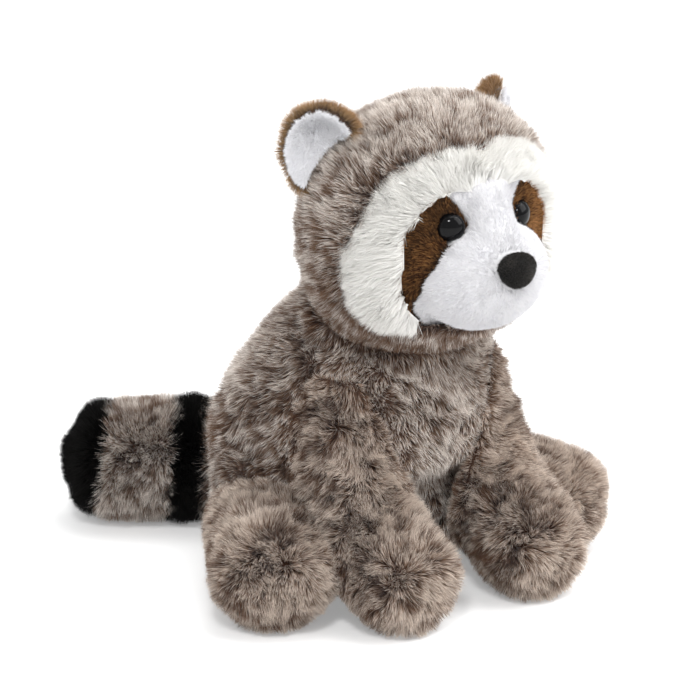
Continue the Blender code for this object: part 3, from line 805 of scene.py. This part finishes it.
class RaccoonFace(Operator):
    """Make the muzzle and the two eye patches"""

    bl_idname = "raccoon.face"
    bl_label = "Muzzle and eye patches"

    def execute(self, context):
        face = context.scene.raccoon_face
        white = pile_material("White plush", [c * 0.95 for c in face.plush_colour], face.plush_colour,
                              face.plush_colour, (0.92, 0.92, 0.94), sheen=0.2)
        self.plush("muzzle", 401, face.plush, white, "white_plush", length=2.2 * MM, width=0.36 * MM,
                   tone=0.5, twist=0.3)
        brown = pile_material("Brown plush", face.patch_root, [c * 0.2 for c in face.patch_tip],
                              face.patch_tip, (0.11, 0.07, 0.05), sheen=0.3, tint=face.patch_glint)
        # Painted light: the left eye patch is given much lighter tones than the right one, though both are
        # the same fabric, for the light that falls across its nap
        for seed, name, tone in ((411, "eye_patch_left", 0.42), (413, "eye_patch_right", 0.06)):
            self.plush(name, seed, face.patch, brown, "brown_plush", length=3.4 * MM, width=0.34 * MM,
                       tone=tone, twist=0.7)
        return {'FINISHED'}

    def plush(self, node, seed, count, material, slot, length, width, tone, twist):
        """Make one short-haired panel of the face."""
        ruffs = node_tree(RUFFS)
        skin, seams = head_skin(node, 1.5 * MM, 0.3 * MM, ruffs)
        points = mesh_points(skin)
        opening = bpy.context.scene.raccoon_face.opening
        set_points(skin, points + across_face(points - HEAD_CENTRE) * (opening * (1.0 - seams))[:, None])
        relax(skin, 3)
        others = [name for name in ("nose", *INNER_PANELS, "eye_left", "eye_right", "head") if name != node]
        clear = faces_out(node_tree(others), reach=1.0 * MM, least=-0.2)
        fibres = Fibres(skin, count, seed,
                        lambda spots, ways: clear(spots, ways) * (depth_inside(ruffs, spots) < 3 * MM))
        fibres.comb(face_flow(fibres.roots), lean=1.2, swirl=0.3, tousle=0.35)
        fibres.grow(length, variation=0.1)
        fibres.gather(cell=1.4 * MM, pull=0.20)
        fibres.tones(wide=0.10, narrow=0.30, spread=0.42, middle=tone)
        blades = fibres.blades(width, twist)
        piece = joined_piece(node + "_plush", skin_arrays(skin, seed), blades, material, node, slot)


class RaccoonNose(Operator):
    """Make the padded velour nose"""

    bl_idname = "raccoon.nose"
    bl_label = "Nose"

    def execute(self, context):
        velour = pile_material("Nose velour", (0.005, 0.0045, 0.004), (0.010, 0.009, 0.008),
                               (0.070, 0.062, 0.054), (0.25, 0.25, 0.25), sheen=0.1)
        skin = remeshed("nose", voxel=0.6 * MM)
        relax(skin, 5)
        points = mesh_points(skin)
        centre = points.mean(axis=0)
        set_points(skin, centre + (points - centre) * NOSE_SHARES + NOSE_MOVE)
        fibres = Fibres(skin, 8000, 501, open_to_air(node_tree(["muzzle"]), reach=1.0 * MM))
        fibres.comb(unit(fibres.roots - centre), lean=1.0, swirl=0.7, tousle=0.9)
        fibres.grow(1.2 * MM, variation=0.1)
        fibres.tones(wide=0.1, narrow=0.3, spread=0.35)
        piece = joined_piece("nose_velour", skin_arrays(skin, 501), fibres.blades(width=0.30 * MM),
                             velour, "nose", "nose_velour")
        return {'FINISHED'}


def ear_axis(side):
    """The way that an ear's packed disc looks."""
    level = math.cos(EAR_TILT)
    return np.array((side * math.sin(EAR_SPLAY) * level, -math.cos(EAR_SPLAY) * level, math.sin(EAR_TILT)))


class RaccoonEars(Operator):
    """Make the golden backs and the white linings of the ears"""

    bl_idname = "raccoon.ears"
    bl_label = "Ears"

    def execute(self, context):
        face = context.scene.raccoon_face
        tan = pile_material("Tan pile", (0.075, 0.040, 0.022), [c * 0.6 for c in face.ear_tip],
                            face.ear_tip, (0.45, 0.38, 0.34))
        lining = pile_material("Lining plush", (0.92, 0.92, 0.94), (0.95, 0.95, 0.97), (0.96, 0.96, 0.98),
                               (0.97, 0.97, 0.98), sheen=0.6)
        for side, name in SIDES:
            turn = FAR_EAR_TURN if side > 0 else 0.0
            node = "ear_back_" + name
            back = remeshed(node, voxel=1.2 * MM)
            centre = mesh_points(back).mean(axis=0)
            self.shape(back, centre, ear_axis(side), share=0.90, turn=turn)
            relax(back, 2)
            axis = np.array(Matrix.Rotation(turn, 3, 'Z') @ Vector(ear_axis(side)))
            # The golden pile grows on the disc's back and rim, and the lining's on its front
            fibres = Fibres(back, 14000, 601 + side, lambda spots, ways: dots(ways, axis)[:, 0] < 0.25)
            away = fibres.roots - centre
            away = away - axis * dots(away, axis)
            fibres.comb(unit(away), lean=0.4, swirl=0.3, tousle=0.9, stray=0.4)
            fibres.grow(6.8 * MM, variation=0.3)
            fibres.gather(cell=1.8 * MM, pull=0.2)
            fibres.tones(wide=0.2, narrow=0.35, spread=0.22)
            blades = fibres.blades(width=0.40 * MM)
            piece = joined_piece(node + "_pile", skin_arrays(back, 601), blades, tan, node, "tan_pile")

            node = "ear_lining_" + name
            inner = remeshed(node, voxel=1.2 * MM)
            self.shape(inner, centre, ear_axis(side), share=0.97, turn=turn)
            set_points(inner, mesh_points(inner) + axis * 3.0 * MM)
            relax(inner, 2)
            fibres = Fibres(inner, 9000, 611 + side, lambda spots, ways: dots(ways, axis)[:, 0] > 0.1)
            fibres.comb(unit(fibres.roots - centre), lean=1.0, swirl=0.2, tousle=0.3)
            fibres.grow(2.4 * MM, variation=0.1)
            fibres.tones(wide=0.1, narrow=0.2, spread=0.12)
            blades = fibres.blades(width=0.40 * MM, twist=0.3)
            piece = joined_piece(node + "_plush", skin_arrays(inner, 611), blades, lining, node,
                                 "white_plush")
        return {'FINISHED'}

    def shape(self, mesh, centre, axis, share, turn):
        """Draw an ear's disc in toward its axis, drop its lower edge, and turn it about its middle."""
        points = mesh_points(mesh)
        arm = points - centre
        flat = arm - axis * dots(arm, axis)
        arm = arm - flat * (1.0 - share)
        arm[:, 2] -= EAR_DROP * (arm[:, 2].max() - arm[:, 2]) + (FAR_EAR_FALL if turn else 0.0)
        set_points(mesh, centre + arm @ np.array(Matrix.Rotation(turn, 3, 'Z')).T)


def tail_line(points):
    """For each point, the nearest place on the tail's middle line and the way the line runs there."""
    pivot = np.array((TAIL_ROOT[0] - TAIL_BEND_RADIUS, TAIL_ROOT[1]))
    flat = points[:, :2] - pivot
    turned = np.clip(np.arctan2(flat[:, 1], flat[:, 0]), 0.0, TAIL_TURN)
    heading = np.stack([-np.sin(turned), np.cos(turned), np.zeros(len(points))], axis=1)
    on_bend = pivot + TAIL_BEND_RADIUS * np.stack([np.cos(turned), np.sin(turned)], axis=1)
    beyond = np.maximum(np.sum((points[:, :2] - on_bend) * heading[:, :2], axis=1), 0.0)
    beyond = np.where(turned >= TAIL_TURN - 1e-6, beyond, 0.0)
    centre = np.concatenate([on_bend, np.full((len(points), 1), TAIL_RADIUS - 1 * MM)], axis=1)
    centre = centre + heading * beyond[:, None]
    return centre, heading, turned * TAIL_BEND_RADIUS + beyond


class RaccoonTail(Operator):
    """Make the sewn sections of the tail"""

    bl_idname = "raccoon.tail"
    bl_label = "Tail"

    def execute(self, context):
        tail = context.scene.raccoon_tail
        coat = context.scene.raccoon_coat
        black = pile_material("Black pile", tail.black_root, tail.black_root, tail.black_tip,
                              (0.6, 0.6, 0.6), sheen=0.0)
        grey = grey_material()
        sections = (
            ("tail_base", grey, "grey_pile", 26000),
            ("tail_dark_band", black, "black_pile", 16000),
            ("tail_pale_band", grey, "grey_pile", 32000),
            ("tail_tip", black, "black_pile", 24000),
        )
        for seed, (node, material, slot, count) in enumerate(sections, start=701):
            skin = remeshed(node, voxel=2.8 * MM)
            relax(skin, 2)
            points = mesh_points(skin)
            centre, heading, distance = tail_line(points)
            arm = points - centre
            radial = arm - heading * dots(arm, heading)
            points = points - radial * (coat.inset / TAIL_RADIUS)
            if node == "tail_tip":
                points = points - heading * (coat.inset * blend_step(distance, *TAIL_END))[:, None]
            points[:, 2] = np.maximum(points[:, 2], FLOOR_CLEARANCE)
            set_points(skin, points)
            trees = node_tree([n for n, _, _, _ in sections if n != node] + ["torso"])
            fibres = Fibres(skin, count, seed, open_to_air(trees, reach=3 * MM))
            _, heading, _ = tail_line(fibres.roots)
            fibres.comb(np.array((0.0, 0.0, -0.4)) + 0.1 * heading, lean=0.25, swirl=1.0, tousle=1.3)
            fibres.grow(tail.length)
            fibres.gather(cell=2.8 * MM, pull=0.40)
            fibres.tones(wide=0.25, narrow=0.55, spread=0.24, middle=0.40)
            blades = fibres.blades(coat.width)
            piece = joined_piece(node + "_pile", skin_arrays(skin, seed), blades, material, node, slot)
        return {'FINISHED'}


def select_only(test):
    """Select the faces of the mesh in edit mode that pass a test."""
    bm = bmesh.from_edit_mesh(bpy.context.object.data)
    bm.normal_update()
    for face in bm.faces:
        face.select_set(test(face))
    bmesh.update_edit_mesh(bpy.context.object.data)


class RaccoonEyes(Operator):
    """Make the glossy eyes, and finish the washers behind them"""

    bl_idname = "raccoon.eyes"
    bl_label = "Eyes"

    def execute(self, context):
        gloss = self.gloss_material()
        plastic = self.washer_material()
        for side, name in SIDES:
            axis = Vector((side * math.sin(EYE_SPLAY), -math.cos(EYE_SPLAY), 0.0))
            form = merged_node("eye_" + name)
            points = mesh_points(form)
            bpy.data.meshes.remove(form)
            heights = points @ np.array(axis)
            middle = points.mean(axis=0)
            rise = heights.max() - EYE_DOME * math.sin(DOME_TOP_ANGLE) - middle @ np.array(axis)
            rim = middle + np.array(axis) * rise
            place = Matrix.Translation(Vector(rim)) @ axis.to_track_quat('Z', 'Y').to_matrix().to_4x4()
            eye = self.dome(place)
            eye.name = "eye_" + name + "_dome"
            eye.data.materials.clear()
            eye.data.materials.append(gloss)
            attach(eye, "root")
            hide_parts("eye_" + name)
            for slot in NODES["eye_washer_" + name].material_slots:
                slot.material = plastic
        return {'FINISHED'}

    def dome(self, place):
        """A turned plastic eye: a dome with a thin flange and its shank."""
        bpy.ops.object.select_all(action='DESELECT')
        bpy.ops.mesh.primitive_uv_sphere_add(segments=48, ring_count=24, radius=EYE_RADIUS,
                                             location=(0, 0, 0))
        eye = bpy.context.object
        bpy.ops.object.mode_set(mode='EDIT')
        bpy.ops.transform.resize(value=(1.0, 1.0, EYE_DOME / EYE_RADIUS))
        bpy.ops.mesh.select_all(action='SELECT')
        bpy.ops.mesh.bisect(plane_co=(0, 0, 0.00001), plane_no=(0, 0, 1), clear_inner=True, use_fill=True)
        select_only(lambda face: face.normal.z < -0.9)
        bpy.ops.mesh.extrude_region_move(TRANSFORM_OT_translate={"value": (0, 0, -EYE_FLANGE)})
        bpy.ops.mesh.inset(thickness=EYE_RADIUS - SHANK_RADIUS, depth=0.0)
        bpy.ops.mesh.extrude_region_move(TRANSFORM_OT_translate={"value": (0, 0, -SHANK_LENGTH)})
        bpy.ops.mesh.select_all(action='SELECT')
        bpy.ops.mesh.normals_make_consistent(inside=False)
        bpy.ops.object.mode_set(mode='OBJECT')
        bpy.ops.object.shade_smooth_by_angle(angle=math.radians(50))
        eye.data.transform(place)
        return eye

    def gloss_material(self):
        """Black plastic with faint smears."""
        material, tree, shader = new_material("Eye gloss")
        smears = surface_noise(tree, scale=900.0)
        dust = tree.nodes.new('ShaderNodeMapRange')
        set_inputs(dust, {"To Min": 0.05, "To Max": 0.10})
        tree.links.new(smears, dust.inputs["Value"])
        tree.links.new(dust.outputs["Result"], shader.inputs["Roughness"])
        set_inputs(shader, {"Base Color": (0.004, 0.004, 0.0045, 1.0), "Specular IOR Level": 0.17})
        return material

    def washer_material(self):
        """Pale moulded plastic with a fine grain."""
        material, tree, shader = new_material("Moulded washer")
        grain = surface_noise(tree, scale=2500.0)
        bump = tree.nodes.new('ShaderNodeBump')
        set_inputs(bump, {"Distance": 0.00005})
        tree.links.new(grain, bump.inputs["Height"])
        tree.links.new(bump.outputs["Normal"], shader.inputs["Normal"])
        set_inputs(shader, {"Base Color": (0.62, 0.62, 0.60, 1.0), "Roughness": 0.45})
        return material


# Stage


class RaccoonStage(Operator):
    """Make the pale floor, the lights and the camera"""

    bl_idname = "raccoon.stage"
    bl_label = "Stage"

    def execute(self, context):
        self.light(context)
        self.floor()
        self.camera(context)
        return {'FINISHED'}

    def floor(self):
        bpy.ops.object.select_all(action='DESELECT')
        bpy.ops.mesh.primitive_circle_add(vertices=96, radius=FLOOR_RADIUS, fill_type='NGON',
                                          location=(0, 0, -FLOOR_DROP))
        floor = bpy.context.object
        floor.name = "floor"
        material, tree, shader = new_material("Pale floor")
        set_inputs(shader, {
            "Base Color": (0.92, 0.92, 0.92, 1.0),
            "Roughness": 0.9,
            "Specular IOR Level": 0.0,
            "Emission Color": (1.0, 1.0, 1.0, 1.0),
        })
        path = tree.nodes.new('ShaderNodeLightPath')
        lift = tree.nodes.new('ShaderNodeMath')
        lift.operation = 'MULTIPLY'
        lift.inputs[1].default_value = FLOOR_GLOW
        tree.links.new(path.outputs["Is Camera Ray"], lift.inputs[0])
        tree.links.new(lift.outputs[0], shader.inputs["Emission Strength"])
        floor.data.materials.append(material)

    def light(self, context):
        stage = context.scene.raccoon_stage
        world = bpy.data.worlds.new("Pale surroundings")
        context.scene.world = world
        world.use_nodes = True
        tree = world.node_tree
        tree.nodes.clear()
        output = tree.nodes.new('ShaderNodeOutputWorld')
        seen = tree.nodes.new('ShaderNodeBackground')
        set_inputs(seen, {"Strength": 1.0, "Color": (1.0, 1.0, 1.0, 1.0)})
        around = tree.nodes.new('ShaderNodeBackground')
        set_inputs(around, {"Strength": stage.fill, "Color": (1.0, 1.0, 1.0, 1.0)})
        path = tree.nodes.new('ShaderNodeLightPath')
        choose = tree.nodes.new('ShaderNodeMixShader')
        tree.links.new(path.outputs["Is Camera Ray"], choose.inputs[0])
        tree.links.new(around.outputs[0], choose.inputs[1])
        tree.links.new(seen.outputs[0], choose.inputs[2])
        tree.links.new(choose.outputs[0], output.inputs["Surface"])
        for name, place, size, share in LAMPS:
            lamp = bpy.data.lights.new(name, 'AREA')
            lamp.size = size
            lamp.energy = stage.key * share
            holder = bpy.data.objects.new(name, lamp)
            holder.location = place
            holder.rotation_euler = (VIEW_TARGET - Vector(place)).to_track_quat('-Z', 'Y').to_euler()
            context.scene.collection.objects.link(holder)

    def camera(self, context):
        level = math.cos(VIEW_ELEVATION)
        back = Vector((math.sin(VIEW_AZIMUTH) * level, -math.cos(VIEW_AZIMUTH) * level,
                       math.sin(VIEW_ELEVATION)))
        right = (-back).cross(Vector((0.0, 0.0, 1.0))).normalized()
        up = right.cross(-back)
        across = (FRAME_PIXELS / 2 - VIEW_TARGET_PIXEL[0]) / VIEW_PIXELS_PER_UNIT
        rise = (VIEW_TARGET_PIXEL[1] - FRAME_PIXELS / 2) / VIEW_PIXELS_PER_UNIT
        aim = -back + right * across + up * rise
        lens = bpy.data.cameras.new("view")
        lens.sensor_width = SENSOR_WIDTH
        lens.lens = SENSOR_WIDTH * VIEW_PIXELS_PER_UNIT / FRAME_PIXELS
        lens.clip_start = 0.05
        camera = bpy.data.objects.new("view", lens)
        camera.location = VIEW_TARGET + back * VIEW_DISTANCE
        camera.rotation_euler = aim.to_track_quat('-Z', 'Y').to_euler()
        context.scene.collection.objects.link(camera)
        context.scene.camera = camera
        context.scene.view_settings.view_transform = 'Standard'


class RaccoonPanel(Panel):
    """Lists the operators that make the plush raccoon"""

    bl_idname = "VIEW3D_PT_plush_raccoon"
    bl_label = "Plush raccoon"
    bl_space_type = 'VIEW_3D'
    bl_region_type = 'UI'
    bl_category = "Plush"

    def draw(self, context):
        for operator in OPERATORS:
            self.layout.operator(operator.bl_idname)
        for settings, _ in SETTINGS:
            group = getattr(context.scene, settings)
            box = self.layout.box()
            for name in group.bl_rna.properties.keys():
                if name not in {"rna_type", "name"}:
                    box.prop(group, name)


SETTINGS = (
    ("raccoon_coat", RaccoonCoatSettings),
    ("raccoon_face", RaccoonFaceSettings),
    ("raccoon_tail", RaccoonTailSettings),
    ("raccoon_stage", RaccoonStageSettings),
)
OPERATORS = (
    RaccoonStage, RaccoonBody, RaccoonHood, RaccoonRuff, RaccoonFace, RaccoonNose, RaccoonEars, RaccoonEyes,
    RaccoonTail,
)


def register():
    for name, group in SETTINGS:
        bpy.utils.register_class(group)
        setattr(bpy.types.Scene, name, PointerProperty(type=group))
    for operator in OPERATORS:
        bpy.utils.register_class(operator)
    bpy.utils.register_class(RaccoonPanel)


def unregister():
    bpy.utils.unregister_class(RaccoonPanel)
    for operator in reversed(OPERATORS):
        bpy.utils.unregister_class(operator)
    for name, group in reversed(SETTINGS):
        delattr(bpy.types.Scene, name)
        bpy.utils.unregister_class(group)


def main():
    register()
    for operator in OPERATORS:
        family, name = operator.bl_idname.split(".")
        getattr(getattr(bpy.ops, family), name)()


if __name__ == "__main__":
    main()
